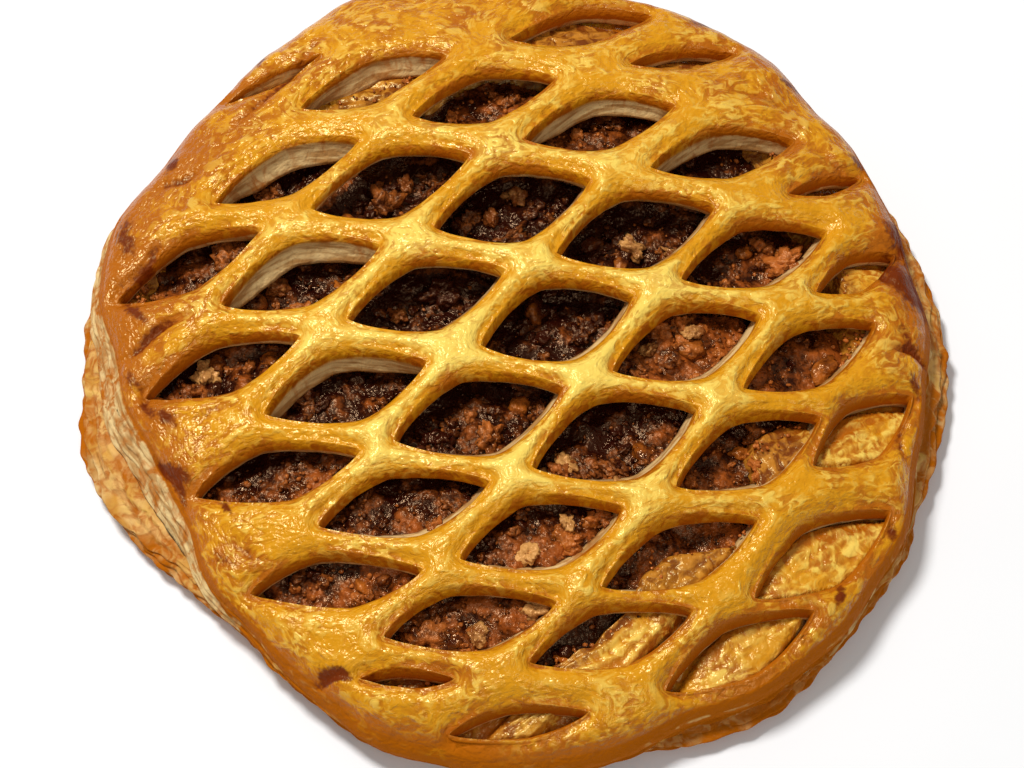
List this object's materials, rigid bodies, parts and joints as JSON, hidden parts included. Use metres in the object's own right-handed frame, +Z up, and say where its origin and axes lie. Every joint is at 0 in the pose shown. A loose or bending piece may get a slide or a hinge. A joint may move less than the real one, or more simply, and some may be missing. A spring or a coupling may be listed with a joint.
{
  "type": "apple_walnut_crumble_pie",
  "caption": "Round puff pastry pie with a glazed pulled-open lattice lid over dark apple, walnut and crumble filling, on a flaky base crust",
  "frame": {"origin": "bottom centre of the pie's bounding box, on the surface it rests on", "axes": "+Z up, +X to the right and -Y towards the front, from where the picture was taken"},
  "size_m": [0.1992, 0.2062, 0.0302],
  "materials": {
    "base_pastry": "baked golden puff pastry in flaky layers, dull",
    "crumble_filling": "dark brown sticky apple and walnut crumble, glossy and granular",
    "glazed_pastry": "egg-glazed golden puff pastry, shiny and finely wrinkled, paler inside the cuts"
  },
  "bodies": {
    "root": {"base_crust": "base_pastry", "filling": "crumble_filling", "lattice_lid": "glazed_pastry"}
  },
  "joints": []
}
